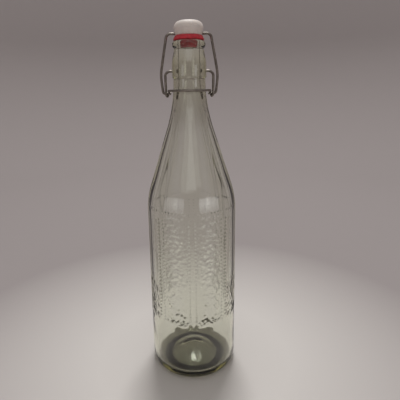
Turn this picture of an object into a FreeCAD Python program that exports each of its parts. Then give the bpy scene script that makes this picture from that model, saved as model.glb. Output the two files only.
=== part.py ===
"""Swing top bottle: a faceted glass bottle with a wire-held stopper.

Millimetres, +Z up. The origin is on the table, on the bottle's axis. The front of the bottle, where the
lever is lifted, faces -Y, and both wires are hinged about lines that run along X.
"""
import FreeCAD
import Part
import math
import os
import re
import Sketcher
from FreeCAD import Placement, Rotation, Vector

SIZES = {
    # Glass, from the table up
    "body_radius": 42.5,
    "wall": 3.5,
    "heel_bend": 11.0,
    "base_ring": 8.5,
    "base_thickness": 8.0,
    "punt_height": 5.0,
    "punt_slope": 15.0,
    "punt_bend": 15.0,
    "inner_heel_bend": 4.5,
    "shoulder_angle": 18.0,
    "shoulder_bend": 84.0,
    # Facets: flats with a round strip left between them
    "facet_count": 8,
    "facet_depth": 1.2,
    "facet_low": 60.0,
    "facet_runout": 5.0,
    "facet_bend": 150.0,
    "facet_neck_lift": 0.3,
    # Neck and mouth, measured down from the rim
    "glass_height": 317.9,
    "bore_radius": 9.0,
    "mouth_chamfer": 1.2,
    "lip_radius": 14.8,
    "lip_depth": 5.2,
    "lip_bend": 2.4,
    "throat_radius": 13.0,
    "throat_drop": 6.8,
    "throat_bend": 1.2,
    "collar_radius": 15.5,
    "collar_top_drop": 17.4,
    "collar_low_drop": 31.2,
    "collar_bend": 30.0,
    "collar_edge": 0.6,
    "neck_radius": 14.5,
    "neck_straight": 1.5,
    "neck_bend": 140.0,
    "inner_neck_bend": 120.0,
    "socket_drop": 25.5,
    "socket_depth": 3.0,
    # Wires
    "wire_radius": 1.15,
    "pin_clearance": 0.08,
    "pin_end_gap": 0.4,
    "lever_half_width": 21.8,
    "lever_bend": 4.5,
    "lever_drop": 19.5,
    "eye_half_width": 21.4,
    "eye_clearance": 0.12,
    "eye_gap": 0.45,
    "bail_top_half_width": 19.5,
    "bail_top_bend": 4.0,
    "bail_wide_half_width": 25.9,
    "bail_wide_rise": 16.6,
    "bail_wide_bend": 40.0,
    "bail_low_half_width": 24.1,
    "bail_low_bend": 2.4,
    "bail_pin_overhang": 0.6,
    # Stopper and gasket
    "gasket_gap": 0.2,
    "gasket_thickness": 4.2,
    "gasket_radius": 14.3,
    "gasket_top_radius": 12.2,
    "gasket_bend": 0.9,
    "plug_radius": 8.3,
    "plug_tip_radius": 7.2,
    "plug_depth": 5.0,
    "stem_radius": 5.5,
    "nose_radius": 6.8,
    "nose_tip_radius": 4.4,
    "nose_depth": 3.4,
    "nose_bend": 1.5,
    "head_low_radius": 11.8,
    "head_radius": 13.1,
    "head_height": 12.2,
    "head_belt": 6.0,
    "head_bend": 6.0,
    "head_edge": 0.8,
    "hole_rise": 1.8,
}

# Heights and places worked out from the sizes, as expressions
STEEP = "tan(shoulder_angle * 1 deg)"
HALF_TURN = "tan(shoulder_angle * 0.5 deg)"
COLLAR_LOW = "(glass_height - collar_low_drop)"
NECK_CORNER = f"({COLLAR_LOW} - neck_straight - neck_bend * {HALF_TURN})"
SHOULDER_CORNER = f"({NECK_CORNER} - (body_radius - neck_radius) / {STEEP})"
PUNT_RADIUS = "(body_radius - heel_bend - base_ring)"
INNER_RADIUS = "(body_radius - wall)"
PIVOT_HEIGHT = "(glass_height - socket_drop)"
EYE_RADIUS = "(2 * wire_radius + eye_clearance)"
EYE_HEIGHT = f"({PIVOT_HEIGHT} - lever_drop)"
EYE_SHIFT = "(2 * wire_radius + eye_gap)"
LOOP_HALF_WIDTH = f"(eye_half_width - {EYE_SHIFT})"
GASKET_LOW = "(glass_height + gasket_gap)"
HEAD_LOW = f"({GASKET_LOW} + gasket_thickness)"
HOLE_HEIGHT = f"({HEAD_LOW} + hole_rise)"
PLUG_LOW = f"({GASKET_LOW} - plug_depth)"
BAIL_RISE = f"({HOLE_HEIGHT} - {EYE_HEIGHT})"
BAIL_LENGTH = f"sqrt({BAIL_RISE} ^ 2 + {EYE_RADIUS} ^ 2)"
PIN_HOLE = "(wire_radius + pin_clearance)"
BAIL_PIN_END = f"({LOOP_HALF_WIDTH} - wire_radius - bail_pin_overhang)"
OUTSIDE = 5.0  # how far a cutting sketch reaches past the solid
NONE = "0"
START, END, CENTRE = 1, 2, 3
ORIGIN, ACROSS, UPRIGHT = -1, -1, -2  # a sketch's own origin point, its horizontal and its vertical axis

doc = FreeCAD.newDocument("swing_top_bottle")
sheet = doc.addObject("Spreadsheet::Sheet", "sizes")
for row, (alias, number) in enumerate(SIZES.items(), start=1):
    sheet.set(f"A{row}", alias)
    sheet.set(f"B{row}", str(number))
    sheet.setAlias(f"B{row}", alias)
doc.recompute()


def bound(expression):
    """The expression with every size's name pointed at its cell in the sheet."""
    return re.sub(r"[a-z_]+", lambda m: f"sizes.{m[0]}" if m[0] in SIZES else m[0], expression)


def value(expression):
    """What the expression comes to, as a plain number."""
    return float(sheet.evalExpression(bound(expression)))


def make_body(label):
    body = doc.addObject("PartDesign::Body", label)
    body.Label = label
    return body


def origin_feature(body, role):
    return next(f for f in body.Origin.OriginFeatures if f.Role == role)


def make_sketch(body, name, plane):
    sketch = body.newObject("Sketcher::SketchObject", name)
    sketch.AttachmentSupport = [(origin_feature(body, plane), "")]
    sketch.MapMode = "FlatFace"
    return sketch


def set_size(sketch, constraint, expression):
    """Adds a driving constraint whose value follows the expression."""
    index = sketch.addConstraint(constraint)
    sketch.setExpression(f"Constraints[{index}]", bound(expression))


def place_point(sketch, geo, pos, x, y):
    """Dimensions a point of the sketch from its origin. A coordinate of 0 puts it on the axis."""
    for kind, expression, axis in (("DistanceX", x, UPRIGHT), ("DistanceY", y, ACROSS)):
        number = value(expression)
        if expression == NONE:
            sketch.addConstraint(Sketcher.Constraint("PointOnObject", geo, pos, axis))
        elif number > 0:
            set_size(sketch, Sketcher.Constraint(kind, ORIGIN, START, geo, pos, number), expression)
        else:
            set_size(sketch, Sketcher.Constraint(kind, geo, pos, ORIGIN, START, -number), f"-({expression})")


def draw_outline(sketch, corners, closed=True):
    """Draws straight runs through the corners, with a tangent arc at each corner that has a bend.

    A corner is (x, y) or (x, y, bend), all expressions. The corner itself stays in the sketch as a
    dimensioned point, so that the sizes place corners and bends and the solver finds the tangents.
    """
    count = len(corners)
    points = [Vector(value(c[0]), value(c[1]), 0) for c in corners]
    runs = count if closed else count - 1
    ways = [(points[(i + 1) % count] - points[i]).normalize() for i in range(runs)]

    def trim(i):
        if len(corners[i]) < 3:
            return 0.0
        return value(corners[i][2]) * math.tan(ways[i - 1].getAngle(ways[i % runs]) / 2)

    trims = [trim(i) for i in range(count)]
    for i in range(runs):
        after = (i + 1) % count
        first = points[i] + ways[i] * trims[i]
        last = points[after] - ways[i] * trims[after]
        sketch.addGeometry(Part.LineSegment(first, last))
    for i, corner in enumerate(corners):
        before = (i - 1) % runs
        if not closed and i in (0, count - 1):
            end = (0, START) if i == 0 else (runs - 1, END)
            place_point(sketch, *end, *corner)
        elif len(corner) < 3:
            sketch.addConstraint(Sketcher.Constraint("Coincident", before, END, i, START))
            place_point(sketch, i, START, *corner)
        else:
            bend_corner(sketch, before, i, points[i], trims[i], corner)


def bend_corner(sketch, before, after, point, trim, corner):
    """Rounds the corner between two runs with a tangent arc, and dimensions the corner and the bend."""
    x, y, bend = corner
    way_in = sketch.Geometry[before].tangent(0)[0]
    way_out = sketch.Geometry[after].tangent(0)[0]
    inward = (way_out - way_in).normalize()
    radius = value(bend)
    middle = point + inward * (math.hypot(radius, trim) - radius)
    first = point - way_in * trim
    arc = sketch.addGeometry(Part.Arc(first, middle, point + way_out * trim))
    starts_first = sketch.getPoint(arc, START).distanceToPoint(first) < trim
    near, far = (START, END) if starts_first else (END, START)
    sketch.addConstraint(Sketcher.Constraint("Tangent", before, END, arc, near))
    sketch.addConstraint(Sketcher.Constraint("Tangent", arc, far, after, START))
    set_size(sketch, Sketcher.Constraint("Radius", arc, radius), bend)
    mark = sketch.addGeometry(Part.Point(point), True)
    sketch.addConstraint(Sketcher.Constraint("PointOnObject", mark, START, before))
    sketch.addConstraint(Sketcher.Constraint("PointOnObject", mark, START, after))
    place_point(sketch, mark, START, x, y)


def draw_circle(sketch, x, y, radius):
    centre = Vector(value(x), value(y), 0)
    circle = sketch.addGeometry(Part.Circle(centre, Vector(0, 0, 1), value(radius)))
    set_size(sketch, Sketcher.Constraint("Radius", circle, value(radius)), radius)
    place_point(sketch, circle, CENTRE, x, y)


def volume_of(body):
    doc.recompute()
    return body.Shape.Volume


def add_turned(body, kind, name, corners):
    """A Revolution or Groove of a closed outline, right round the bottle's axis."""
    sketch = make_sketch(body, f"{name}_outline", "XZ_Plane")
    draw_outline(sketch, corners)
    turned = body.newObject(f"PartDesign::{kind}", name)
    turned.Profile = sketch
    turned.ReferenceAxis = (sketch, ["V_Axis"])
    turned.Angle = 360
    return turned


def add_through_pocket(body, name, sketch):
    """A Pocket that goes all the way through, to both sides of its sketch."""
    pocket = body.newObject("PartDesign::Pocket", name)
    pocket.Profile = sketch
    pocket.Type = "ThroughAll"
    pocket.SideType = "Symmetric"
    return pocket


def expect_cut(body, before, name):
    """Stops the build if a cut has taken nothing off."""
    after = volume_of(body)
    if not after < before:
        raise RuntimeError(f"{name} cuts nothing")
    print(f"{body.Label}: {name} takes {before - after:.0f} cubic mm")
    return after


def build_glass():
    body = make_body("glass_bottle")
    add_turned(body, "Revolution", "outer_form", [
        (NONE, NONE),
        ("body_radius", NONE, "heel_bend"),
        ("body_radius", SHOULDER_CORNER, "shoulder_bend"),
        ("neck_radius", NECK_CORNER, "neck_bend"),
        ("neck_radius", COLLAR_LOW),
        ("collar_radius", COLLAR_LOW, "collar_edge"),
        ("collar_radius", "glass_height - collar_top_drop", "collar_bend"),
        ("throat_radius", "glass_height - throat_drop", "throat_bend"),
        ("lip_radius", "glass_height - lip_depth", "lip_bend"),
        ("lip_radius", "glass_height", "lip_bend"),
        (NONE, "glass_height"),
    ])
    left = volume_of(body)
    add_facets(body)
    left = expect_cut(body, left, "facets")
    add_turned(body, "Groove", "punt", [
        (NONE, NONE),
        (PUNT_RADIUS, NONE),
        (f"{PUNT_RADIUS} - punt_slope", "punt_height", "punt_bend"),
        (NONE, "punt_height"),
    ])
    left = expect_cut(body, left, "punt")
    inner_shoulder = f"({SHOULDER_CORNER} - wall * {HALF_TURN})"
    inner_neck = f"({inner_shoulder} + ({INNER_RADIUS} - bore_radius) / {STEEP})"
    add_turned(body, "Groove", "cavity", [
        (NONE, "punt_height + base_thickness"),
        (f"{PUNT_RADIUS} - punt_slope", "punt_height + base_thickness", "punt_bend"),
        (PUNT_RADIUS, "base_thickness", "punt_bend"),
        (INNER_RADIUS, "base_thickness", "inner_heel_bend"),
        (INNER_RADIUS, inner_shoulder, "shoulder_bend - wall"),
        ("bore_radius", inner_neck, "inner_neck_bend"),
        ("bore_radius", "glass_height - mouth_chamfer"),
        ("bore_radius + mouth_chamfer", "glass_height"),
        ("bore_radius + mouth_chamfer", f"glass_height + {OUTSIDE}"),
        (NONE, f"glass_height + {OUTSIDE}"),
    ])
    left = expect_cut(body, left, "cavity")
    add_sockets(body)
    expect_cut(body, left, "sockets")
    return body


def add_facets(body):
    """Flats round the body and shoulder, which run out above the round foot and at the neck.

    The first one is half a step round from +X, so that a strip between two flats faces the front.
    """
    flat_radius = "(body_radius - facet_depth)"
    top_radius = "(neck_radius + facet_neck_lift)"
    shoulder = f"({SHOULDER_CORNER} - facet_depth * {HALF_TURN})"
    neck = f"({shoulder} + ({flat_radius} - {top_radius}) / {STEEP})"
    sketch = make_sketch(body, "facet_outline", "XZ_Plane")
    sketch.AttachmentOffset = Placement(Vector(), Rotation(Vector(0, 1, 0), 180 / SIZES["facet_count"]))
    sketch.setExpression("AttachmentOffset.Rotation.Angle", bound("180 deg / facet_count"))
    draw_outline(sketch, [
        ("body_radius + facet_depth", "facet_low - facet_runout"),
        (flat_radius, "facet_low + facet_runout"),
        (flat_radius, shoulder, "shoulder_bend - facet_depth"),
        (top_radius, neck, "facet_bend"),
        (top_radius, COLLAR_LOW),
        (f"body_radius + {OUTSIDE}", COLLAR_LOW),
        (f"body_radius + {OUTSIDE}", "facet_low - facet_runout"),
    ])
    pocket = add_through_pocket(body, "facet", sketch)
    pattern = body.newObject("PartDesign::PolarPattern", "facets")
    pattern.Originals = [pocket]
    pattern.Axis = (origin_feature(body, "Z_Axis"), [""])
    pattern.Angle = 360
    pattern.Occurrences = SIZES["facet_count"]
    pattern.setExpression("Occurrences", bound("facet_count"))
    body.Tip = pattern


def add_sockets(body):
    """Two blind holes in the collar, in line along X, for the ends of the lever."""
    sketch = make_sketch(body, "socket_circle", "YZ_Plane")
    sketch.setExpression("AttachmentOffset.Base.z", bound("collar_radius - socket_depth"))
    draw_circle(sketch, NONE, PIVOT_HEIGHT, PIN_HOLE)
    pocket = body.newObject("PartDesign::Pocket", "socket")
    pocket.Profile = sketch
    pocket.Type = "ThroughAll"
    pocket.Reversed = True
    mirrored = body.newObject("PartDesign::Mirrored", "sockets")
    mirrored.Originals = [pocket]
    mirrored.MirrorPlane = (origin_feature(body, "YZ_Plane"), [""])
    body.Tip = mirrored


def biarc(start, start_way, end, end_way):
    """Two arcs that leave start and reach end along the given ways and meet in a common tangent."""
    span = end - start
    ways = start_way + end_way
    bend = 2 * (1 - start_way.dot(end_way))
    along = span.dot(ways)
    reach = (-along + math.sqrt(along ** 2 + bend * span.dot(span))) / bend
    joint = (start + end + (start_way - end_way) * reach) * 0.5
    return [arc_from(start, start_way, joint), arc_from(end, end_way * -1, joint)]


def arc_from(start, way, end):
    """The arc that leaves start along way and ends at end."""
    chord = end - start
    across = (chord - way * chord.dot(way)).normalize()
    radius = chord.dot(chord) / (2 * chord.dot(across))
    turn = 2 * way.getAngle(chord)
    middle = start + way * (radius * math.sin(turn / 2)) + across * (radius * (1 - math.cos(turn / 2)))
    return Part.Arc(start, middle, end).toShape()


def build_lever():
    """The lower wire: from a socket out and down to an eye, forward round the neck, and back the same way.

    An eye is three quarters of a turn about the bail's end, down the front, up the back and over the top,
    stepping inward so that the wire passes beside itself.
    """
    wire = value("wire_radius")
    pivot = value(PIVOT_HEIGHT)
    eye_height = value(EYE_HEIGHT)
    eye_radius = value(EYE_RADIUS)
    eye_x = value("eye_half_width")
    loop_x = value(LOOP_HALF_WIDTH)
    bend = value("lever_bend")
    pin_end = Vector(value("collar_radius - socket_depth + pin_end_gap"), 0, pivot)
    corner = Vector(value("lever_half_width"), 0, pivot)
    eye_start = Vector(eye_x, 0, eye_height)
    leg_way = (eye_start - corner).normalize()
    outward = Vector(1, 0, 0)
    trim = bend * math.tan(outward.getAngle(leg_way) / 2)
    leg_start = corner + leg_way * trim
    edges = [
        Part.LineSegment(pin_end, corner - outward * trim).toShape(),
        arc_from(corner - outward * trim, outward, leg_start),
        Part.LineSegment(leg_start, eye_start).toShape(),
    ]
    quarters = 3
    step = (loop_x - eye_x) / quarters
    pitch = step / (eye_radius * math.pi / 2)
    point, way = eye_start, leg_way
    for quarter in range(1, quarters + 1):
        angle = quarter * math.pi / 2
        y = eye_radius * (1 - math.cos(angle))
        z = eye_height - eye_radius * math.sin(angle)
        after = Vector(eye_x + step * quarter, y, z)
        after_way = Vector(pitch, math.sin(angle), -math.cos(angle)).normalize()
        if quarter == quarters:
            after_way = Vector(0, -1, 0)
        edges += biarc(point, way, after, after_way)
        point, way = after, after_way
    loop_start = Vector(loop_x, 0, point.z)
    edges.append(Part.LineSegment(point, loop_start).toShape())
    print(f"lever_wire: an eye passes itself {-step * quarters - 2 * wire:.2f} mm clear")
    half = Part.Wire(Part.__sortEdges__(edges))
    other = half.mirror(Vector(), Vector(1, 0, 0))
    loop = Part.Arc(loop_start, Vector(0, -loop_x, point.z), Vector(-loop_x, 0, point.z)).toShape()
    path = doc.addObject("Part::Feature", "lever_path")
    path.Shape = Part.Wire(Part.__sortEdges__(half.Edges + [loop] + other.Edges))
    return sweep_wire("lever_wire", path, pin_end)


def sweep_wire(label, path, start):
    """Round wire along a path that starts along X."""
    section = doc.addObject("Part::Circle", f"{label}_section")
    section.setExpression("Radius", bound("wire_radius"))
    section.Placement = Placement(start, Rotation(Vector(0, 0, 1), Vector(1, 0, 0)))
    doc.recompute()
    swept = doc.addObject("Part::Sweep", label)
    swept.Label = label
    swept.Sections = [section]
    swept.Spine = (path, [f"Edge{i + 1}" for i in range(len(path.Shape.Edges))])
    swept.Solid = True
    swept.Frenet = False
    return swept


def build_bail():
    """The upper wire, bent in one plane: a pin, an arm, the run through the stopper, an arm and a pin.

    The plane leans back from the stopper's hole to the eyes, so the sketch is turned about X by that lean.
    """
    body = make_body("bail_wire")
    path = make_sketch(body, "bail_path", "XZ_Plane")
    lean = f"atan({EYE_RADIUS} / {BAIL_RISE})"
    path.AttachmentOffset = Placement(Vector(), Rotation(Vector(1, 0, 0), value(lean)))
    path.setExpression("AttachmentOffset.Base.y", bound(EYE_HEIGHT))
    path.setExpression("AttachmentOffset.Base.z", bound(f"-{EYE_RADIUS}"))
    path.setExpression("AttachmentOffset.Rotation.Angle", bound(lean))
    side = [
        (BAIL_PIN_END, NONE),
        ("bail_low_half_width", NONE, "bail_low_bend"),
        ("bail_wide_half_width", "bail_wide_rise", "bail_wide_bend"),
        ("bail_top_half_width", BAIL_LENGTH, "bail_top_bend"),
    ]
    other_side = [(f"-{corner[0]}", *corner[1:]) for corner in reversed(side)]
    draw_outline(path, side + other_side, closed=False)
    section = make_sketch(body, "bail_section", "YZ_Plane")
    section.setExpression("AttachmentOffset.Base.z", bound(BAIL_PIN_END))
    draw_circle(section, EYE_RADIUS, EYE_HEIGHT, "wire_radius")
    doc.recompute()
    pipe = body.newObject("PartDesign::AdditivePipe", "bail_round")
    pipe.Profile = section
    pipe.Spine = (path, [f"Edge{i + 1}" for i in range(len(path.Shape.Edges))])
    return body


def build_head():
    """The cap, with the stem that the gasket sits on and the nose that holds the gasket up."""
    body = make_body("stopper_head")
    add_turned(body, "Revolution", "head_form", [
        (NONE, f"{PLUG_LOW} - nose_depth"),
        ("nose_tip_radius", f"{PLUG_LOW} - nose_depth", "nose_bend"),
        ("nose_radius", PLUG_LOW),
        ("stem_radius", PLUG_LOW),
        ("stem_radius", HEAD_LOW),
        ("head_low_radius", HEAD_LOW, "head_edge"),
        ("head_radius", f"{HEAD_LOW} + head_belt"),
        ("head_radius", f"{HEAD_LOW} + head_height", "head_bend"),
        (NONE, f"{HEAD_LOW} + head_height"),
    ])
    left = volume_of(body)
    sketch = make_sketch(body, "bail_hole_circle", "YZ_Plane")
    draw_circle(sketch, NONE, HOLE_HEIGHT, PIN_HOLE)
    add_through_pocket(body, "bail_hole", sketch)
    expect_cut(body, left, "bail hole")
    return body


def build_gasket():
    """The ring that seals on the rim, with a short tapered plug that centres it in the mouth."""
    body = make_body("sealing_gasket")
    add_turned(body, "Revolution", "ring", [
        ("stem_radius", PLUG_LOW),
        ("plug_tip_radius", PLUG_LOW, "gasket_bend"),
        ("plug_radius", GASKET_LOW),
        ("gasket_radius", GASKET_LOW, "gasket_bend"),
        ("gasket_top_radius", HEAD_LOW, "gasket_bend"),
        ("stem_radius", HEAD_LOW),
    ])
    return body


def check_and_write(pieces):
    """Writes each piece to parts, once the whole document is sound."""
    doc.recompute()
    failed = [o.Name for o in doc.Objects if {"Invalid", "Error"} & set(o.State)]
    if failed:
        raise RuntimeError(f"not built: {failed}")
    for piece in pieces:
        if piece.Shape.isNull() or not piece.Shape.isValid() or len(piece.Shape.Solids) != 1:
            raise RuntimeError(f"{piece.Label} is not one sound solid")
    os.makedirs("parts", exist_ok=True)
    for piece in pieces:
        piece.Shape.exportStep(f"parts/{piece.Label}.step")
        box = piece.Shape.BoundBox
        print(f"{piece.Label}: {piece.Shape.Volume:.0f} cubic mm, z {box.ZMin:.2f} to {box.ZMax:.2f}")


check_and_write([build_glass(), build_lever(), build_bail(), build_head(), build_gasket()])
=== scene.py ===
"""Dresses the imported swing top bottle: relief glass, steel wires, moulded stopper and rubber ring, in a small
studio."""
import math

import bpy
import numpy as np
from bpy.props import FloatProperty, FloatVectorProperty, IntProperty, PointerProperty
from mathutils import Matrix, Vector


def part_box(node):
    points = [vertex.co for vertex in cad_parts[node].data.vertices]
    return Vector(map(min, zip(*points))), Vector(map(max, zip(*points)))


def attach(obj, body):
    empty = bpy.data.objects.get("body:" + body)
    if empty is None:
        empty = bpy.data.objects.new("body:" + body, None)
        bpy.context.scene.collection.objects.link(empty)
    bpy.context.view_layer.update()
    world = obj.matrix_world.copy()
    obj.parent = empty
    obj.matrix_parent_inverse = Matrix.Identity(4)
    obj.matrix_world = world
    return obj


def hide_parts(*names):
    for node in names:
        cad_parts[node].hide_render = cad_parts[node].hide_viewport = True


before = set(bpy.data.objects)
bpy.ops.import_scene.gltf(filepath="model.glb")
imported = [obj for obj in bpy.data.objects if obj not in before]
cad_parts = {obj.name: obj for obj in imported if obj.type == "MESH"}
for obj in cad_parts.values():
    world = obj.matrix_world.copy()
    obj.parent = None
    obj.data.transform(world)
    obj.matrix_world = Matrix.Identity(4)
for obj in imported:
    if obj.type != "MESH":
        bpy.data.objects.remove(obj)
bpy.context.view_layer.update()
GLASS_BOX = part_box("glass_bottle")

bl_info = {
    "name": "Swing Top Bottle",
    "version": (1, 0, 0),
    "blender": (4, 5, 0),
    "location": "View3D > Sidebar > Bottle",
    "description": "Makes the relief glass, the closure's finishes and the studio of a swing top bottle",
    "category": "Object",
}

MM = 0.001
COLUMNS_PER_FACET = 34
BEAD_COLUMN = 3
BEAD_RISE = 0.35 * MM
FIRST_BEAD, LAST_BEAD = 17, 45
BEADS_OVER_PANEL = 1.7 * MM

# Section of the glass, in millimetres. Drops are measured down from the rim.
POLE_RADIUS, PUNT_RADIUS, BASE_RADIUS = 1.4, 8.0, 23.0
PUNT_HEIGHT, FLOOR_HEIGHT, DOME_HEIGHT = 5.0, 8.0, 13.0
HEEL_BEND, INNER_HEEL_BEND, PUNT_BEND = 11.0, 4.5, 15
SHOULDER_BEND, INNER_SHOULDER_BEND, FACET_SHOULDER_BEND = 84, 80.5, 82.8
NECK_BEND, INNER_NECK_BEND, FACET_NECK_BEND = 140, 120, 150
COLLAR_RADIUS, COLLAR_BEND, COLLAR_EDGE = 15.5, 30, 0.9
COLLAR_TOP_DROP, COLLAR_FOOT_DROP = 17.4, 31.2
NECK_RUN = 1.5
THROAT_RADIUS, THROAT_DROP, THROAT_BEND = 13.0, 6.8, 1.2
LIP_DROP, LIP_BEND = 5.2, 2.4
BORE_RADIUS, MOUTH_RADIUS, MOUTH_DROP = 9.0, 10.2, 1.2
FACET_FOOT_LOW, FACET_FOOT_HIGH, FACET_FOOT_BEND = 55.0, 65.0, 40
FACET_RUN_OUT, FACET_NECK_LIFT, FACET_TOP = 1.35, 0.3, 340.0

# Where the outside carries facets, and how softly facets and relief meet the turned section.
BODY_FOOT, BODY_TOP_DROP = 12 * MM, 36 * MM
FACET_SOFTNESS, RELIEF_SOFTNESS = 0.06 * MM, 0.04 * MM
SOCKET_DROP, SOCKET_DEPTH = 25.5 * MM, 3.0 * MM
SOCKET_FLOOR_RADIUS, SOCKET_MOUTH_RADIUS = 1.5 * MM, 1.85 * MM

# Pebbles: row pitch, shift and radius in pitches, rise in relief depths. Then the level grains.
RELIEF_SEED = 29
PEBBLE_ROW_PITCH, PEBBLE_SHIFT = 0.87, 0.24
PEBBLE_RADIUS, PEBBLE_RISE = (0.34, 0.60), (0.45, 1.0)
PANEL_SHARE, FOOT_FADE, SIDE_FADE = 0.95, 12 * MM, 3.5 * MM
GRAIN_HALF_WIDTH, GRAIN_HALF_HEIGHT, GRAIN_RISE = 3.6 * MM, 1.2 * MM, 1.1

# Ripples of the inside: rise in millimetres, waves round, waves up per metre, and phase.
INNER_WAVES = ((0.10, 3, 40, 0.0), (0.08, 5, -95, 1.3), (0.06, 9, 160, 0.4))

# Stage: name, place, target, size, power in watts and spread in degrees of each lamp, and the rest in metres.
LAMPS = (
    ("top_lamp", (0.09, 0.83, 2.71), (0.0, 0.02, 0.0), (0.63, 0.63), 38.5, 180),
    ("fill_lamp", (0.0, -1.05, 0.95), (0.0, 0.0, 0.20), (0.90, 0.70), 1.8, 180),
    ("left_lamp", (-0.85, -0.85, 0.22), (0.0, 0.0, 0.14), (0.35, 0.35), 0.016, 30),
    ("right_lamp", (0.85, -0.85, 0.22), (0.0, 0.0, 0.14), (0.35, 0.35), 0.026, 30),
)
BOWL_REACH, BOWL_RISE, BOWL_BEND, BOWL_COLUMNS = 1.5, 1.5, 0.5, 96
# Painted pool of light: the floor is pale out to the first reach and fades to the backdrop's grey by the
# second.
LIT_POOL_REACH, FALLOFF_REACH = 0.10, 0.31
WORLD_COLOUR, WORLD_STRENGTH = (1.0, 0.99, 0.97, 1.0), 0.40
SENSOR_WIDTH, CAMERA_SHIFT = 36.0, (0.0221, -0.045)


class BottleGlass(bpy.types.PropertyGroup):
    """Sizes and colour of the glass. The outline follows the solid that the glass stands for."""

    body_radius: FloatProperty(
        name="Body radius", description="Outside radius of the straight body",
        default=GLASS_BOX[1][0], min=0.02, unit="LENGTH")
    height: FloatProperty(
        name="Glass height", description="Height of the rim above the table",
        default=GLASS_BOX[1][2], min=0.2, unit="LENGTH")
    wall: FloatProperty(
        name="Wall", description="Thickness of the straight wall",
        default=3.5 * MM, min=0.001, unit="LENGTH")
    shoulder_angle: FloatProperty(
        name="Shoulder angle", description="Lean of the shoulder from upright",
        default=math.radians(18), subtype="ANGLE", unit="ROTATION")
    neck_radius: FloatProperty(
        name="Neck radius", description="Outside radius of the neck just under its collar",
        default=14.5 * MM, unit="LENGTH")
    lip_radius: FloatProperty(
        name="Lip radius", description="Outside radius of the rounded lip",
        default=14.8 * MM, unit="LENGTH")
    facet_count: IntProperty(
        name="Facets", description="Number of flat facets round the body", default=8, min=4, max=16)
    facet_depth: FloatProperty(
        name="Facet depth", description="How far the middle of a facet lies inside the round body",
        default=1.2 * MM, min=0.0, unit="LENGTH")
    panel_low: FloatProperty(
        name="Panel foot", description="Height at which the relief starts",
        default=60 * MM, unit="LENGTH")
    panel_top: FloatProperty(
        name="Panel top", description="Height at which the relief ends",
        default=168 * MM, unit="LENGTH")
    panel_half_width: FloatProperty(
        name="Panel half width", description="Half the width of a relief panel along the wall",
        default=12.6 * MM, unit="LENGTH")
    pebble_pitch: FloatProperty(
        name="Pebble pitch", description="Distance between neighbouring pebbles of the relief",
        default=5.6 * MM, min=0.003, unit="LENGTH")
    relief_depth: FloatProperty(
        name="Relief depth", description="How far the highest pebbles stand out of their panel",
        default=1.0 * MM, unit="LENGTH")
    grain_low: FloatProperty(
        name="Grain foot", description="Height at which the columns of level grains start",
        default=104 * MM, unit="LENGTH")
    grain_pitch: FloatProperty(
        name="Grain pitch", description="Distance between the level grains of a column",
        default=14 * MM, min=0.005, unit="LENGTH")
    bead_pitch: FloatProperty(
        name="Bead pitch", description="Distance between the small beads that frame a panel",
        default=3.6 * MM, min=0.001, unit="LENGTH")
    tint: FloatVectorProperty(
        name="Glass tint", description="Colour that the glass keeps as light goes through it",
        default=(0.85, 0.842, 0.69), size=3, min=0.0, max=1.0, subtype="COLOR")
    tint_strength: FloatProperty(
        name="Tint strength", description="How fast the glass takes up the other colours, per metre",
        default=90.0, min=0.0)


class BottleClosure(bpy.types.PropertyGroup):
    """Colours of the stopper, its ring and the two wires."""

    stopper_colour: FloatVectorProperty(
        name="Stopper", description="Colour of the moulded stopper",
        default=(0.82, 0.745, 0.685), size=3, min=0.0, max=1.0, subtype="COLOR")
    ring_colour: FloatVectorProperty(
        name="Ring", description="Colour of the rubber ring",
        default=(0.66, 0.022, 0.040), size=3, min=0.0, max=1.0, subtype="COLOR")
    wire_colour: FloatVectorProperty(
        name="Wire", description="Colour of the drawn steel wire",
        default=(0.25, 0.222, 0.195), size=3, min=0.0, max=1.0, subtype="COLOR")


class BottleStage(bpy.types.PropertyGroup):
    """Floor, lamps and camera."""

    # Pale colour of the painted pool of light on the floor round the bottle.
    lit_floor_colour: FloatVectorProperty(
        name="Floor", description="Colour of the floor round the bottle",
        default=(0.70, 0.665, 0.635), size=3, min=0.0, max=1.0, subtype="COLOR")
    backdrop_colour: FloatVectorProperty(
        name="Backdrop", description="Colour of the rising part of the backdrop",
        default=(0.372, 0.335, 0.330), size=3, min=0.0, max=1.0, subtype="COLOR")
    camera_place: FloatVectorProperty(
        name="Camera place", description="Where the camera stands",
        default=(0.0, -0.3483, 0.2730), size=3, subtype="TRANSLATION", unit="LENGTH")
    camera_pitch: FloatProperty(
        name="Camera pitch", description="How far the camera looks down",
        default=math.radians(13.43), subtype="ANGLE", unit="ROTATION")
    camera_roll: FloatProperty(
        name="Camera roll", description="Turn of the camera about its own line of sight",
        default=math.radians(-1.0), subtype="ANGLE", unit="ROTATION")
    lens: FloatProperty(
        name="Lens", description="Focal length on a 36 mm wide sensor",
        default=33.44, min=1.0, unit="CAMERA")


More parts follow.
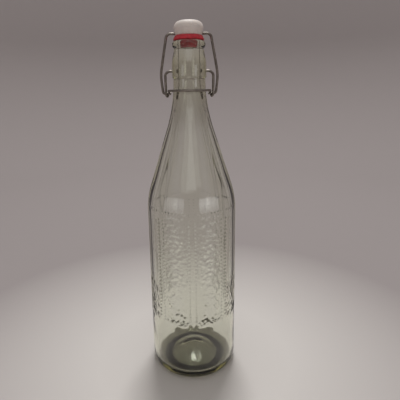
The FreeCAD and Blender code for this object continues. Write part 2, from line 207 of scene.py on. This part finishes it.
def rounded_profile(corners):
    """Rows of (radius, height) along straight runs joined by arcs.

    Each corner is (radius, height, bend, run step, arc step). A corner's arc touches both of its runs,
    at a distance of bend times the tangent of half the turn. Runs and arcs are divided evenly at about
    their own steps, and the last point closes the list.
    """
    spots = np.array([corner[:2] for corner in corners])
    ways = np.diff(spots, axis=0)
    ways /= np.linalg.norm(ways, axis=1)[:, None]
    rows = []
    start = spots[0]
    for i in range(1, len(corners) - 1):
        bend, run_step, arc_step = corners[i][2:]
        before, after = ways[i - 1], ways[i]
        turn = math.atan2(before[0] * after[1] - before[1] * after[0], before @ after)
        reach = bend * math.tan(abs(turn) / 2)
        touch = spots[i] - before * reach
        rows.append(divided_run(start, touch, run_step))
        count = max(1, round(abs(turn) * bend / arc_step)) if bend else 0
        sweep = turn * np.arange(count) / max(1, count)
        side = math.copysign(bend, turn) * np.array([-before[1], before[0]])
        arm = -side
        arc = touch + side + np.stack([
            arm[0] * np.cos(sweep) - arm[1] * np.sin(sweep),
            arm[0] * np.sin(sweep) + arm[1] * np.cos(sweep)], axis=1)
        rows.append(arc)
        start = spots[i] + after * reach
    rows.append(divided_run(start, spots[-1], corners[-1][3]))
    rows.append(spots[-1:])
    return np.vstack(rows)


def divided_run(start, end, step):
    """Evenly spaced points from start up to, and without, end."""
    count = max(1, round(float(np.linalg.norm(end - start)) / step))
    share = np.arange(count)[:, None] / count
    return start + (end - start) * share


def smooth_step(value, low, high):
    """0 below low and 1 above high, with a smooth cubic rise between them."""
    share = np.clip((value - low) / (high - low), 0.0, 1.0)
    return share * share * (3 - 2 * share)


def soft_least(first, second, reach):
    """The lesser of two values, with the change from one to the other rounded over about reach."""
    mean = (first + second) / 2
    return mean - np.sqrt(((first - second) / 2) ** 2 + reach ** 2)


def shoulder_corners(glass):
    """Heights, in millimetres, where the lines of the wall, the leaning shoulder and the neck cross.

    The neck's corner lies below the collar by a short straight run and its arc's tangent. The other
    corners follow from it along lines that lean by the shoulder angle, set in by the wall or the facet.
    """
    radius, neck = glass.body_radius / MM, glass.neck_radius / MM
    wall, facet = glass.wall / MM, glass.facet_depth / MM
    lean, half = math.tan(glass.shoulder_angle), math.tan(glass.shoulder_angle / 2)
    neck_corner = glass.height / MM - COLLAR_FOOT_DROP - NECK_RUN - NECK_BEND * half
    shoulder = neck_corner - (radius - neck) / lean
    inner_shoulder = shoulder - wall * half
    inner_neck = inner_shoulder + (radius - wall - BORE_RADIUS) / lean
    facet_shoulder = shoulder - facet * half
    facet_neck = facet_shoulder + (radius - facet - neck - FACET_NECK_LIFT) / lean
    return neck_corner, shoulder, inner_shoulder, inner_neck, facet_shoulder, facet_neck


def glass_section(glass):
    """Half section of the glass, in metres, from the middle of the base round the outside, over the rim
    and down the inside to the middle of the floor. Returns its rows and where the outside ends.

    The rows lie closer together along the beads and across the sockets in the collar.
    """
    radius, top, wall = glass.body_radius / MM, glass.height / MM, glass.wall / MM
    neck, lip = glass.neck_radius / MM, glass.lip_radius / MM
    neck_corner, shoulder, inner_shoulder, inner_neck = shoulder_corners(glass)[:4]
    pitch = glass.bead_pitch / MM
    outside = [
        (POLE_RADIUS, PUNT_HEIGHT, 0, 2, 2),
        (PUNT_RADIUS, PUNT_HEIGHT, PUNT_BEND, 2.2, 1.8),
        (BASE_RADIUS, 0.0, 1.2, 2.6, 0.5),
        (radius, 0.0, HEEL_BEND, 2.4, 1.0),
        (radius, FIRST_BEAD * pitch, 0, 2.4, 1),
        (radius, LAST_BEAD * pitch, 0, pitch / 3, 1),
        (radius, shoulder, SHOULDER_BEND, 1.25, 2.0),
        (neck, neck_corner, NECK_BEND, 3.0, 2.6),
        (neck, top - 31.9, COLLAR_EDGE, 0.6, 0.35),
        (COLLAR_RADIUS, top - 30.9, COLLAR_EDGE, 0.5, 0.35),
        (COLLAR_RADIUS, top - 27.8, 0, 0.6, 1),
        (COLLAR_RADIUS, top - 23.2, 0, 0.33, 1),
        (COLLAR_RADIUS, top - COLLAR_TOP_DROP, COLLAR_BEND, 0.8, 0.8),
        (THROAT_RADIUS, top - THROAT_DROP, THROAT_BEND, 0.8, 0.5),
        (lip, top - LIP_DROP, LIP_BEND, 0.5, 0.5),
        (lip, top, LIP_BEND, 0.5, 0.45),
        (MOUTH_RADIUS, top, 0.7, 0.7, 0.35),
    ]
    inside = [
        (BORE_RADIUS, top - MOUTH_DROP, 0.9, 0.6, 0.4),
        (BORE_RADIUS, inner_neck, INNER_NECK_BEND, 3.4, 3.4),
        (radius - wall, inner_shoulder, INNER_SHOULDER_BEND, 5.0, 3.6),
        (radius - wall, FLOOR_HEIGHT, INNER_HEEL_BEND, 6.0, 1.2),
        (BASE_RADIUS, FLOOR_HEIGHT, PUNT_BEND, 3.0, 2.0),
        (PUNT_RADIUS, DOME_HEIGHT, PUNT_BEND, 3.0, 2.0),
        (POLE_RADIUS, DOME_HEIGHT, 0, 3.0, 3.0),
    ]
    rows = rounded_profile(outside + inside) * MM
    rim = int(np.argmax(rows[:, 1] > glass.height - 1e-7))
    return rows, rim


def facet_distance(glass, height):
    """Distance of a facet's plane from the axis at each height.

    The facet runs out of the round body above its foot. It then lies the facet depth inside the body's
    radius, and leans in along the shoulder to end just outside the neck, with long bends.
    """
    flat = (glass.body_radius - glass.facet_depth) / MM
    facet_shoulder, facet_neck = shoulder_corners(glass)[4:]
    line = rounded_profile([
        (flat + FACET_RUN_OUT, FACET_FOOT_LOW, 0, 1, 1),
        (flat, FACET_FOOT_HIGH, FACET_FOOT_BEND, 1, 1),
        (flat, facet_shoulder, FACET_SHOULDER_BEND, 2, 1),
        (glass.neck_radius / MM + FACET_NECK_LIFT, facet_neck, FACET_NECK_BEND, 2, 1),
        (glass.neck_radius / MM + FACET_NECK_LIFT, FACET_TOP, 0, 2, 1)]) * MM
    return np.interp(height, line[:, 1], line[:, 0])


def pebbled_rise(glass, angle, height):
    """Rise of the relief at each point of the body, and the share of the panel that it fades to.

    Pebbles stand on a staggered grid round the body, each moved and sized a little at random. A pebble is
    one less the squared distance from its middle over its radius squared, raised by half and cut flat at
    one, and the highest one counts. The lower body carries them all round, and above that only the four
    panels at the front and the back do. A column of level grains, three times as wide as tall, runs up the
    middle of each of those panels.
    """
    rng = np.random.default_rng(RELIEF_SEED)
    radius, pitch = glass.body_radius, glass.pebble_pitch
    round_length = 2 * math.pi * radius
    across = round(round_length / pitch)
    up = round((glass.panel_top - glass.panel_low) / (PEBBLE_ROW_PITCH * pitch))
    level = np.arange(up + 1)
    middle_z = glass.panel_low + (glass.panel_top - glass.panel_low) * level / up
    middle_u = (np.arange(across)[None, :] + 0.5 * (level % 2)[:, None]) * round_length / across
    shift = rng.uniform(-PEBBLE_SHIFT, PEBBLE_SHIFT, (2, up + 1, across)) * pitch
    size = rng.uniform(*PEBBLE_RADIUS, (up + 1, across)) * pitch
    rise = rng.uniform(*PEBBLE_RISE, (up + 1, across))
    around = (angle % (2 * math.pi)) * radius
    cover = np.zeros(np.broadcast_shapes(angle.shape, height.shape))
    for row in level:
        du = around[..., None] - (middle_u[row] + shift[0, row])
        du = (du + round_length / 2) % round_length - round_length / 2
        dz = height[..., None] - (middle_z[row] + shift[1, row])
        dome = rise[row] * np.clip(1.5 - 1.5 * (du ** 2 + dz ** 2) / size[row] ** 2, 0.0, 1.0)
        cover = np.maximum(cover, dome.max(axis=-1))
    turn = 2 * math.pi / glass.facet_count
    beside = (angle % turn - turn / 2) * radius
    foot = 1 - smooth_step(height, glass.grain_low - FOOT_FADE, glass.grain_low)
    front_or_back = np.abs(np.sin(angle)) > math.sqrt(0.5)
    shown = np.maximum(foot, PANEL_SHARE * front_or_back)
    step = (height - glass.grain_low) % glass.grain_pitch - glass.grain_pitch / 2
    grain = 1 - (beside / GRAIN_HALF_WIDTH) ** 2 - (step / GRAIN_HALF_HEIGHT) ** 2
    grain = np.clip(grain, 0.0, 1.0) * (1 - foot) * front_or_back
    clear = smooth_step(np.hypot(beside / 1.4, step), 2.6 * MM, 4.2 * MM)
    cover = np.maximum(cover * np.where(foot > 0.5, 1.0, clear) * shown, GRAIN_RISE * grain)
    edge = glass.panel_half_width
    fade = 1 - smooth_step(np.abs(beside), edge - SIDE_FADE, edge)
    fade = fade * smooth_step(height, glass.panel_low - 1 * MM, glass.panel_low + 2 * MM)
    fade = fade * (1 - smooth_step(height, glass.panel_top - 3 * MM, glass.panel_top))
    return glass.relief_depth * cover * fade, fade * shown


def bead_frame(glass, height, columns):
    """How far each grid point of the body is sunk in the band along a panel's edge, and raised as a bead.

    The band is three columns wide and its middle is the third column from the facet's edge. A bead is the
    grid point on every third row there, which stays level with the wall. Under the foot and over the top of
    a panel every third column has a raised point.
    """
    per_facet = columns // glass.facet_count
    place = np.arange(columns)[None, :] % per_facet
    from_edge = np.minimum(place, per_facet - place)
    row = np.rint(3 * height / glass.bead_pitch)
    on_run = (row >= 3 * FIRST_BEAD) & (row <= 3 * LAST_BEAD)
    band = np.select([from_edge == BEAD_COLUMN, np.abs(from_edge - BEAD_COLUMN) == 1], [1.0, 0.8], 0.0)
    bead = (from_edge == BEAD_COLUMN) & (row % 3 == 0)
    over = np.abs(height - glass.panel_top - BEADS_OVER_PANEL) < 1.0 * MM
    level = (row == 3 * FIRST_BEAD + 1) | over
    raised = level & (from_edge > BEAD_COLUMN + 1) & ((from_edge - BEAD_COLUMN) % 3 == 0)
    return on_run * (band - bead), 1.0 * raised


def glass_surface(glass, columns):
    """Closed skin of the glass as a grid of section rows by columns round the axis.

    Outside, the radius is the lesser of the turned section and the facet plane over the cosine of the
    angle from the facet's middle, with the relief raised on it as far as the turned section and the bead
    frame let into it. Two round sockets are pressed into the collar. Inside, the turned radius wanders by
    small sines of angle and height, as blown glass does.
    """
    section, rim = glass_section(glass)
    angle = np.arange(columns)[None, :] * 2 * math.pi / columns
    radius = np.repeat(section[:, :1], columns, axis=1)
    height = section[:, 1:]
    index = np.arange(len(section))[:, None]
    outside = index < rim
    turn = 2 * math.pi / glass.facet_count
    from_facet = angle % turn - turn / 2
    plane = facet_distance(glass, height) / np.cos(from_facet)
    on_body = outside & (height > BODY_FOOT) & (height < glass.height - BODY_TOP_DROP)
    radius = np.where(on_body, np.minimum(soft_least(radius, plane, FACET_SOFTNESS), radius), radius)
    relief = np.zeros_like(radius)
    mask = np.zeros_like(radius)
    body = np.nonzero((on_body & (height < glass.panel_top + 8 * MM))[:, 0])[0]
    relief[body], mask[body] = pebbled_rise(glass, angle, height[body])
    turned = np.repeat(section[:, :1], columns, axis=1)
    carved = np.minimum(soft_least(radius + relief, turned, RELIEF_SOFTNESS), turned)
    radius = np.where(relief > 0, carved, radius)
    sunk, raised = bead_frame(glass, height, columns)
    beaded = np.minimum(radius + BEAD_RISE * raised, turned) - BEAD_RISE * sunk
    radius = np.where(on_body, beaded, radius)
    beside = radius * np.sin(angle)
    from_pin = np.hypot(beside, height - (glass.height - SOCKET_DROP))
    on_collar = outside & (height > glass.height - 31 * MM)
    hole = 1 - smooth_step(from_pin, SOCKET_FLOOR_RADIUS, SOCKET_MOUTH_RADIUS)
    radius = radius - on_collar * SOCKET_DEPTH * hole
    inner = index > rim + 6
    wander = sum(
        rise * np.sin(around * angle + up * height + phase) for rise, around, up, phase in INNER_WAVES)
    reach = smooth_step(radius, 12 * MM, 36 * MM) * smooth_step(height, 9 * MM, 22 * MM)
    radius = radius + inner * wander * reach * MM
    places = turned_places(radius, angle, height)
    uv = np.stack(np.broadcast_arrays(angle * glass.body_radius, height), axis=-1)
    return places, uv, mask


def turned_places(radius, angle, height):
    """Grid of points at each radius, angle round the axis and height."""
    return np.stack(np.broadcast_arrays(
        radius * np.cos(angle), radius * np.sin(angle), height), axis=-1)


def smooth_mesh(name, spots, faces):
    """New mesh of points and faces, shaded smooth."""
    mesh = bpy.data.meshes.new(name)
    mesh.from_pydata(spots.tolist(), [], faces)
    mesh.polygons.foreach_set("use_smooth", np.ones(len(mesh.polygons), dtype=bool))
    mesh.update()
    return mesh


def closed_grid_mesh(name, places, low_pole, high_pole):
    """Mesh of a grid that closes on itself round the axis, with a fan of triangles at each end's pole.

    A quad runs round first and on along the section second, so the faces of a section drawn up the
    outside and down the inside point out of the material.
    """
    rows, columns = places.shape[:2]
    count = rows * columns
    here = np.arange(count).reshape(rows, columns)
    beside = np.roll(here, -1, axis=1)
    quads = np.stack([here[:-1], beside[:-1], beside[1:], here[1:]], axis=-1).reshape(-1, 4)
    first = np.stack([np.full(columns, count), beside[0], here[0]], axis=-1)
    last = np.stack([here[-1], beside[-1], np.full(columns, count + 1)], axis=-1)
    spots = np.vstack([places.reshape(-1, 3), low_pole, high_pole])
    return smooth_mesh(name, spots, quads.tolist() + first.tolist() + last.tolist())


def add_wall_map(mesh, uv, length_round):
    """UV map in metres: along the wall from the +X side, and height. Faces that cross the seam get the
    whole length round added to their far corners, so that no face runs back over the map."""
    layer = mesh.uv_layers.new(name="wall")
    corner = np.empty(len(mesh.loops), dtype=np.int32)
    mesh.loops.foreach_get("vertex_index", corner)
    flat = np.vstack([uv.reshape(-1, 2), uv[0, :1], uv[-1, :1]])
    spread = flat[corner]
    start = np.empty(len(mesh.polygons), dtype=np.int32)
    size = np.empty(len(mesh.polygons), dtype=np.int32)
    mesh.polygons.foreach_get("loop_start", start)
    mesh.polygons.foreach_get("loop_total", size)
    highest = np.maximum.reduceat(spread[:, 0], start)
    crosses = np.repeat(highest > 0.75 * length_round, size) & (spread[:, 0] < 0.25 * length_round)
    spread[crosses, 0] += length_round
    layer.data.foreach_set("uv", spread.astype(np.float32).ravel())


def add_point_value(mesh, name, values):
    """Stores one number for each vertex, which a material reads by its name."""
    layer = mesh.attributes.new(name, "FLOAT", "POINT")
    layer.data.foreach_set("value", values.astype(np.float32).ravel())


class NodeBench:
    """A material's node tree with short calls that add a node and join it up."""

    def __init__(self, name):
        self.material = bpy.data.materials.new(name)
        self.material.use_nodes = True
        self.tree = self.material.node_tree
        self.shader = self.tree.nodes["Principled BSDF"]
        self.output = self.tree.nodes["Material Output"]

    def add(self, kind, **settings):
        """Adds a node and sets its options."""
        node = self.tree.nodes.new(kind)
        for key, value in settings.items():
            setattr(node, key, value)
        return node

    def feed(self, socket, value):
        """Joins an output to a socket, or sets the socket's own value."""
        if isinstance(value, bpy.types.NodeSocket):
            self.tree.links.new(value, socket)
        else:
            socket.default_value = value

    def math(self, operation, first, second=0.0, third=0.0, clamp=False):
        """One number worked out from up to three others."""
        node = self.add("ShaderNodeMath", operation=operation, use_clamp=clamp)
        for socket, value in zip(node.inputs, (first, second, third)):
            self.feed(socket, value)
        return node.outputs[0]

    def object_place(self, stretch=(1.0, 1.0, 1.0)):
        """Object coordinates, stretched along each axis."""
        place = self.add("ShaderNodeTexCoord")
        fit = self.add("ShaderNodeMapping")
        fit.inputs["Scale"].default_value = stretch
        self.tree.links.new(place.outputs["Object"], fit.inputs["Vector"])
        return fit.outputs["Vector"]

    def noise(self, scale, detail=3.0, roughness=0.55, stretch=(1.0, 1.0, 1.0)):
        """Cloudy noise on Object coordinates; scale is in cells per metre."""
        node = self.add("ShaderNodeTexNoise")
        self.tree.links.new(self.object_place(stretch), node.inputs["Vector"])
        node.inputs["Scale"].default_value = scale
        node.inputs["Detail"].default_value = detail
        node.inputs["Roughness"].default_value = roughness
        return node.outputs[0]

    def spread(self, value, low, high, to_low, to_high):
        """Maps a value from one range to another, held at the ends."""
        node = self.add("ShaderNodeMapRange")
        node.clamp = True
        for key, item in zip(("From Min", "From Max", "To Min", "To Max"), (low, high, to_low, to_high)):
            node.inputs[key].default_value = item
        self.feed(node.inputs["Value"], value)
        return node.outputs[0]

    def blend_colours(self, share, first, second):
        """Mix of two colours by a share from 0 to 1."""
        node = self.add("ShaderNodeMix", data_type="RGBA")
        self.feed(node.inputs[0], share)
        for socket, colour in ((node.inputs[6], first), (node.inputs[7], second)):
            self.feed(socket, colour if isinstance(colour, bpy.types.NodeSocket) else (*colour, 1.0))
        return node.outputs[2]

    def bump(self, height, strength, distance):
        """Normal bent by a height given in units of distance."""
        node = self.add("ShaderNodeBump")
        node.inputs["Strength"].default_value = strength
        node.inputs["Distance"].default_value = distance
        self.feed(node.inputs["Height"], height)
        return node.outputs["Normal"]


def shaded(colour, factor):
    """A colour made darker or lighter by one factor."""
    return tuple(min(1.0, part * factor) for part in colour)


def bead_rows(bench, glass):
    """Height from 0 to 1 of the small beads that frame each relief panel.

    The wall map is folded about each panel's middle. A bead is one less the squared distance to the
    nearest bead centre over the bead's radius squared, along both sides, the top and the foot.
    """
    pitch = glass.bead_pitch
    reach = 1.15 * MM
    sector = 2 * math.pi * glass.body_radius / glass.facet_count
    half = sector * (0.5 - BEAD_COLUMN / COLUMNS_PER_FACET)
    low, high = (FIRST_BEAD + 1 / 3) * pitch, LAST_BEAD * pitch
    wall = bench.add("ShaderNodeUVMap", uv_map="wall")
    part = bench.add("ShaderNodeSeparateXYZ")
    bench.tree.links.new(wall.outputs["UV"], part.inputs[0])
    along, up = part.outputs[0], part.outputs[1]
    folded = bench.math("ABSOLUTE", bench.math(
        "SUBTRACT", bench.math("FLOORED_MODULO", along, sector), sector / 2))

    def nearest_in_row(value):
        return bench.math("PINGPONG", value, pitch / 2)

    def dome(across, way):
        square = bench.math("ADD", bench.math("MULTIPLY", across, across), bench.math("MULTIPLY", way, way))
        return bench.math("SUBTRACT", 1.0, bench.math("DIVIDE", square, reach ** 2), clamp=True)

    side = dome(bench.math("SUBTRACT", folded, half), nearest_in_row(up))
    side_low = bench.math("GREATER_THAN", up, low)
    side_top = bench.math("LESS_THAN", up, high + reach)
    side = bench.math("MULTIPLY", side, bench.math("MULTIPLY", side_low, side_top))
    top = dome(bench.math("SUBTRACT", up, glass.panel_top + BEADS_OVER_PANEL), nearest_in_row(folded))
    foot = dome(bench.math("SUBTRACT", up, low), nearest_in_row(folded))
    level = bench.math("MULTIPLY", bench.math("MAXIMUM", top, foot), bench.math("LESS_THAN", folded, half))
    return bench.math("MAXIMUM", side, level)


def glass_material(glass):
    """Pale grey-green pressed glass: clear, tinted through its thickness, with beads, fine orange peel on
    the panels and long soft ripples on the plain parts."""
    bench = NodeBench("pressed_glass")
    shader = bench.shader
    shader.inputs["Base Color"].default_value = (0.97, 0.985, 0.97, 1.0)
    shader.inputs["Transmission Weight"].default_value = 1.0
    shader.inputs["IOR"].default_value = 1.52
    panel = bench.add("ShaderNodeAttribute", attribute_name="relief").outputs["Fac"]
    smear = bench.noise(38, 4, 0.6)
    bench.feed(shader.inputs["Roughness"], bench.spread(smear, 0.45, 0.75, 0.0, 0.05))
    pebble = bench.add("ShaderNodeTexVoronoi", feature="SMOOTH_F1")
    bench.tree.links.new(bench.object_place(), pebble.inputs["Vector"])
    pebble.inputs["Scale"].default_value = 300.0
    pebble.inputs["Smoothness"].default_value = 0.45
    dome = bench.spread(pebble.outputs["Distance"], 0.1, 0.7, 1.0, 0.0)
    peel = bench.math("MULTIPLY_ADD", dome, 1.1, bench.math("MULTIPLY", bench.noise(520, 2, 0.5), 0.35))
    peel = bench.math("MULTIPLY", peel, panel)
    ripple = bench.noise(70, 2, 0.45, stretch=(1, 1, 0.16))
    small = bench.math("MULTIPLY_ADD", ripple, 0.35, peel)
    height = bench.math("MULTIPLY_ADD", bead_rows(bench, glass), 0.6, small)
    bench.feed(shader.inputs["Normal"], bench.bump(height, 1.0, 0.4 * MM))
    tint = bench.add("ShaderNodeVolumeAbsorption")
    tint.inputs["Color"].default_value = (*glass.tint, 1.0)
    tint.inputs["Density"].default_value = glass.tint_strength
    bench.tree.links.new(tint.outputs["Volume"], bench.output.inputs["Volume"])
    return bench.material


def wire_material(closure):
    """Drawn steel wire: dull grey metal, cloudy tarnish, fine scratches and small bright rubs."""
    bench = NodeBench("drawn_steel")
    shader = bench.shader
    colour = tuple(closure.wire_colour)
    tarnish = bench.spread(bench.noise(190, 4, 0.6), 0.35, 0.68, 0.0, 1.0)
    rub = bench.spread(bench.noise(900, 2, 0.5), 0.60, 0.74, 0.0, 1.0)
    base = bench.blend_colours(tarnish, shaded(colour, 1.15), shaded(colour, 0.72))
    base = bench.blend_colours(rub, base, shaded(colour, 1.5))
    bench.feed(shader.inputs["Base Color"], base)
    shader.inputs["Metallic"].default_value = 1.0
    bench.feed(shader.inputs["Roughness"], bench.spread(tarnish, 0, 1, 0.32, 0.46))
    scratch = bench.noise(2600, 3, 0.6)
    bench.feed(shader.inputs["Normal"], bench.bump(scratch, 0.35, 0.05 * MM))
    return bench.material


def stopper_material(closure):
    """White moulded plastic: slightly cloudy, with painted shade that turns it darker and pinker low down next
    to the ring.
    """
    bench = NodeBench("moulded_stopper")
    shader = bench.shader
    colour = tuple(closure.stopper_colour)
    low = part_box("stopper_head")[1][2] - 14 * MM
    part = bench.add("ShaderNodeSeparateXYZ")
    bench.tree.links.new(bench.object_place(), part.inputs[0])
    # Painted shade: the lowest 6 mm darken and turn pink towards the ring, mottled by the cloud, standing for
    # top light and the red ring's bounce.
    painted_low_shade = bench.spread(part.outputs[2], low, low + 6 * MM, 1.0, 0.0)
    cloud = bench.spread(bench.noise(240, 4, 0.6), 0.38, 0.66, 0.0, 1.0)
    painted_low_shade = bench.math("MULTIPLY", painted_low_shade, bench.math("MULTIPLY_ADD", cloud, 0.6, 0.3))
    base = bench.blend_colours(cloud, colour, shaded(colour, 0.94))
    base = bench.blend_colours(painted_low_shade, base, (colour[0] * 0.74, colour[1] * 0.71, colour[2] * 0.66))
    bench.feed(shader.inputs["Base Color"], base)
    bench.feed(shader.inputs["Roughness"], bench.spread(cloud, 0, 1, 0.48, 0.60))
    shader.inputs["Subsurface Weight"].default_value = 0.12
    shader.inputs["Subsurface Radius"].default_value = (1.0, 0.8, 0.6)
    shader.inputs["Subsurface Scale"].default_value = 1.2 * MM
    grain = bench.math("MULTIPLY_ADD", bench.noise(2200, 2), 0.3, bench.noise(330, 3))
    bench.feed(shader.inputs["Normal"], bench.bump(grain, 0.30, 0.10 * MM))
    return bench.material


def ring_material(closure):
    """Red rubber: satin, with a fine grain, a dusty bloom and darker worn patches."""
    bench = NodeBench("red_rubber")
    shader = bench.shader
    colour = tuple(closure.ring_colour)
    worn = bench.spread(bench.noise(420, 4, 0.6), 0.40, 0.66, 0.0, 1.0)
    bloom = bench.spread(bench.noise(1500, 2, 0.5), 0.58, 0.78, 0.0, 0.35)
    base = bench.blend_colours(worn, colour, shaded(colour, 0.72))
    base = bench.blend_colours(bloom, base, (0.66, 0.16, 0.15))
    bench.feed(shader.inputs["Base Color"], base)
    bench.feed(shader.inputs["Roughness"], bench.spread(worn, 0, 1, 0.34, 0.52))
    grain = bench.math("MULTIPLY_ADD", bench.noise(3200, 2), 0.4, bench.noise(700, 2))
    bench.feed(shader.inputs["Normal"], bench.bump(grain, 0.35, 0.08 * MM))
    return bench.material


def dress_node(name, material):
    """Puts one material on a carried-over solid."""
    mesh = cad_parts[name].data
    mesh.materials.clear()
    mesh.materials.append(material)


def link_object(name, data):
    """New object at the origin, linked to the scene."""
    thing = bpy.data.objects.new(name, data)
    bpy.context.scene.collection.objects.link(thing)
    return thing


class BOTTLE_OT_glass(bpy.types.Operator):
    """Make the glass with its facets, relief and sockets"""

    bl_idname = "bottle.glass"
    bl_label = "Glass"

    def execute(self, context):
        glass = context.scene.bottle_glass
        places, uv, mask = glass_surface(glass, COLUMNS_PER_FACET * glass.facet_count)
        poles = places[0, :1].copy(), places[-1, :1].copy()
        for pole in poles:
            pole[:, :2] = 0.0
        mesh = closed_grid_mesh("relief_glass", places, *poles)
        add_wall_map(mesh, uv, 2 * math.pi * glass.body_radius)
        add_point_value(mesh, "relief", np.concatenate([mask.ravel(), [0.0, 0.0]]))
        mesh.materials.append(glass_material(glass))
        piece = link_object("relief_glass", mesh)
        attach(piece, "bottle")
        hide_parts("glass_bottle")
        return {"FINISHED"}


class BOTTLE_OT_wires(bpy.types.Operator):
    """Finish the lever wire and the bail wire in drawn steel"""

    bl_idname = "bottle.wires"
    bl_label = "Wires"

    def execute(self, context):
        steel = wire_material(context.scene.bottle_closure)
        dress_node("lever_wire", steel)
        dress_node("bail_wire", steel)
        return {"FINISHED"}


class BOTTLE_OT_stopper(bpy.types.Operator):
    """Finish the stopper and its ring"""

    bl_idname = "bottle.stopper"
    bl_label = "Stopper and ring"

    def execute(self, context):
        closure = context.scene.bottle_closure
        dress_node("stopper_head", stopper_material(closure))
        dress_node("sealing_gasket", ring_material(closure))
        return {"FINISHED"}


def bowl_surface(reach, rise, bend, columns):
    """Round stage: a flat floor that bends up into a wall, one profile carried round the axis."""
    rows = rounded_profile([
        (0.02, 0.0, 0, 0.1, 0.1),
        (reach, 0.0, bend, 0.12, 0.05),
        (reach, rise, 0, 0.2, 0.1)])
    angle = np.arange(columns)[None, :] * 2 * math.pi / columns
    return turned_places(rows[:, :1], angle, rows[:, 1:])


def open_bowl_mesh(places):
    """Mesh of the stage's grid, closed round the axis and filled at its middle."""
    rows, columns = places.shape[:2]
    count = rows * columns
    here = np.arange(count).reshape(rows, columns)
    beside = np.roll(here, -1, axis=1)
    quads = np.stack([here[:-1], here[1:], beside[1:], beside[:-1]], axis=-1).reshape(-1, 4)
    first = np.stack([np.full(columns, count), here[0], beside[0]], axis=-1)
    spots = np.vstack([places.reshape(-1, 3), np.zeros((1, 3))])
    return smooth_mesh("stage_bowl", spots, quads.tolist() + first.tolist())


def stage_material(stage):
    """Matt paint with a painted pool of light: pale on the floor round the bottle and greyer towards the rising
    backdrop, as light falling off would leave it.
    """
    bench = NodeBench("stage_paint")
    shader = bench.shader
    part = bench.add("ShaderNodeVectorMath", operation="LENGTH")
    bench.tree.links.new(bench.object_place((1, 1, 0)), part.inputs[0])
    reach = part.outputs["Value"]
    # Painted falloff of light: the pale floor colour fades to the grey with distance from the bottle.
    far = bench.spread(reach, LIT_POOL_REACH, FALLOFF_REACH, 0.0, 1.0)
    paint = bench.blend_colours(far, tuple(stage.lit_floor_colour), tuple(stage.backdrop_colour))
    bench.feed(shader.inputs["Base Color"], paint)
    shader.inputs["Roughness"].default_value = 0.9
    shader.inputs["Specular IOR Level"].default_value = 0.1
    return bench.material


def facing(place, target):
    """Matrix of a lamp that stands at a place and faces a target, with its upper edge kept level."""
    back = np.array(place) - np.array(target)
    back = back / np.linalg.norm(back)
    right = np.cross((0.0, 1.0, 0.0) if abs(back[2]) > 0.999 else (0.0, 0.0, 1.0), back)
    right = right / np.linalg.norm(right)
    turn = np.eye(4)
    turn[:3, 0], turn[:3, 1], turn[:3, 2], turn[:3, 3] = right, np.cross(back, right), back, place
    return Matrix(turn.tolist())


def add_lamp(name, place, target, size, power, spread):
    """Rectangular soft lamp that faces a point, with its light kept inside a spread in degrees."""
    lamp = bpy.data.lights.new(name, "AREA")
    lamp.shape = "RECTANGLE"
    lamp.size, lamp.size_y = size
    lamp.energy = power
    lamp.spread = math.radians(spread)
    link_object(name, lamp).matrix_world = facing(place, target)


class BOTTLE_OT_stage(bpy.types.Operator):
    """Set the floor, the backdrop, the lamps, the world and the camera"""

    bl_idname = "bottle.stage"
    bl_label = "Stage"

    def execute(self, context):
        scene = context.scene
        stage = scene.bottle_stage
        mesh = open_bowl_mesh(bowl_surface(BOWL_REACH, BOWL_RISE, BOWL_BEND, BOWL_COLUMNS))
        mesh.materials.append(stage_material(stage))
        bowl = link_object("stage_bowl", mesh)
        for lamp in LAMPS:
            add_lamp(*lamp)
        world = bpy.data.worlds.new("studio_world")
        scene.world = world
        world.use_nodes = True
        sky = world.node_tree.nodes["Background"]
        sky.inputs["Color"].default_value = WORLD_COLOUR
        sky.inputs["Strength"].default_value = WORLD_STRENGTH
        lens = bpy.data.cameras.new("photo_camera")
        lens.sensor_width = SENSOR_WIDTH
        lens.lens = stage.lens
        lens.shift_x, lens.shift_y = CAMERA_SHIFT
        lens.clip_start = 0.01
        camera = link_object("photo_camera", lens)
        camera.matrix_world = (
            Matrix.Translation(stage.camera_place)
            @ Matrix.Rotation(math.pi / 2 - stage.camera_pitch, 4, "X")
            @ Matrix.Rotation(stage.camera_roll, 4, "Z"))
        scene.camera = camera
        scene.view_settings.view_transform = "Standard"
        return {"FINISHED"}


class BOTTLE_PT_panel(bpy.types.Panel):
    """Lists the pieces and the stage in the sidebar"""

    bl_idname = "BOTTLE_PT_panel"
    bl_label = "Swing Top Bottle"
    bl_space_type = "VIEW_3D"
    bl_region_type = "UI"
    bl_category = "Bottle"

    def draw(self, context):
        scene = context.scene
        for group in (scene.bottle_glass, scene.bottle_closure, scene.bottle_stage):
            column = self.layout.column(align=True)
            for key in group.bl_rna.properties.keys():
                if key not in {"rna_type", "name"}:
                    column.prop(group, key)
        for operator in OPERATORS:
            self.layout.operator(operator.bl_idname)


GROUPS = (BottleGlass, BottleClosure, BottleStage)
OPERATORS = (BOTTLE_OT_glass, BOTTLE_OT_wires, BOTTLE_OT_stopper, BOTTLE_OT_stage)


def register():
    """Adds the settings, the operators and the panel to Blender."""
    for item in (*GROUPS, *OPERATORS, BOTTLE_PT_panel):
        bpy.utils.register_class(item)
    bpy.types.Scene.bottle_glass = PointerProperty(type=BottleGlass)
    bpy.types.Scene.bottle_closure = PointerProperty(type=BottleClosure)
    bpy.types.Scene.bottle_stage = PointerProperty(type=BottleStage)


def unregister():
    """Takes the settings, the operators and the panel out again."""
    del bpy.types.Scene.bottle_stage
    del bpy.types.Scene.bottle_closure
    del bpy.types.Scene.bottle_glass
    for item in reversed((*GROUPS, *OPERATORS, BOTTLE_PT_panel)):
        bpy.utils.unregister_class(item)


def main():
    """Makes every piece and the stage."""
    register()
    bpy.ops.bottle.glass()
    bpy.ops.bottle.wires()
    bpy.ops.bottle.stopper()
    bpy.ops.bottle.stage()


if __name__ == "__main__":
    main()
